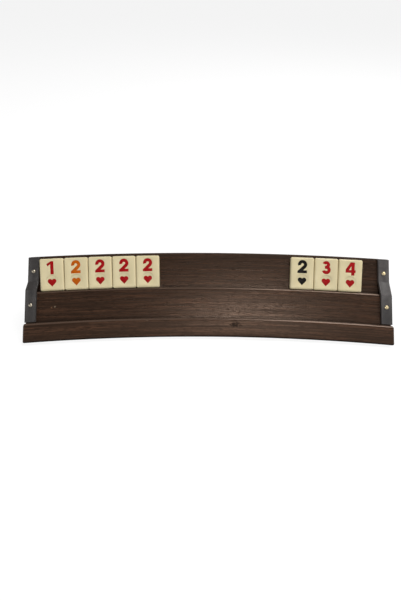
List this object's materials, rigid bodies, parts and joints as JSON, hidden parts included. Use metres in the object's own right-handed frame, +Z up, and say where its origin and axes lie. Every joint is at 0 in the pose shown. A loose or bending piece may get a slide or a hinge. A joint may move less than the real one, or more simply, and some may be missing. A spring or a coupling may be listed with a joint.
{
  "type": "tile rack",
  "caption": "Curved wooden tile rack with two sloping tiers and rounded ledges, leather straps tacked over its ends, and loose numbered tiles standing on the upper ledge.",
  "frame": {"origin": "on the table, under the middle of the rack's box", "axes": "+X along the rack to the player's right, -Y towards the player, +Z up"},
  "size_m": [0.403, 0.0886, 0.0656],
  "materials": {
    "walnut": "satin",
    "leather": "matt, smooth",
    "brass": "polished",
    "felt": "matt",
    "tile": "semi-gloss",
    "red_colour": "semi-gloss",
    "orange_colour": "semi-gloss",
    "black_colour": "semi-gloss"
  },
  "bodies": {
    "rack": {"upper_plank": "walnut", "lower_plank": "walnut", "front_plank": "walnut", "left_rib": "walnut", "middle_rib": "walnut", "right_rib": "walnut", "felt_pads": "felt", "left_strap": "leather", "right_strap": "leather", "left_tacks": "brass", "right_tacks": "brass"},
    "tile_1": {"tile_1": "tile", "tile_1_numeral": "red_colour", "tile_1_heart": "red_colour"},
    "tile_2": {"tile_2": "tile", "tile_2_numeral": "orange_colour", "tile_2_heart": "orange_colour"},
    "tile_3": {"tile_3": "tile", "tile_3_numeral": "red_colour", "tile_3_heart": "red_colour"},
    "tile_4": {"tile_4": "tile", "tile_4_numeral": "red_colour", "tile_4_heart": "red_colour"},
    "tile_5": {"tile_5": "tile", "tile_5_numeral": "red_colour", "tile_5_heart": "red_colour"},
    "tile_6": {"tile_6": "tile", "tile_6_numeral": "black_colour", "tile_6_heart": "black_colour"},
    "tile_7": {"tile_7": "tile", "tile_7_numeral": "red_colour", "tile_7_heart": "red_colour"},
    "tile_8": {"tile_8": "tile", "tile_8_numeral": "red_colour", "tile_8_heart": "red_colour"}
  },
  "joints": [
    {"name": "tile_1_lift", "type": "slide", "parent": "rack", "child": "tile_1", "axis": [0, 0, 1], "range_m": [0, 0.06]},
    {"name": "tile_2_lift", "type": "slide", "parent": "rack", "child": "tile_2", "axis": [0, 0, 1], "range_m": [0, 0.06]},
    {"name": "tile_3_lift", "type": "slide", "parent": "rack", "child": "tile_3", "axis": [0, 0, 1], "range_m": [0, 0.06]},
    {"name": "tile_4_lift", "type": "slide", "parent": "rack", "child": "tile_4", "axis": [0, 0, 1], "range_m": [0, 0.06]},
    {"name": "tile_5_lift", "type": "slide", "parent": "rack", "child": "tile_5", "axis": [0, 0, 1], "range_m": [0, 0.06]},
    {"name": "tile_6_lift", "type": "slide", "parent": "rack", "child": "tile_6", "axis": [0, 0, 1], "range_m": [0, 0.06]},
    {"name": "tile_7_lift", "type": "slide", "parent": "rack", "child": "tile_7", "axis": [0, 0, 1], "range_m": [0, 0.06]},
    {"name": "tile_8_lift", "type": "slide", "parent": "rack", "child": "tile_8", "axis": [0, 0, 1], "range_m": [0, 0.06]}
  ]
}
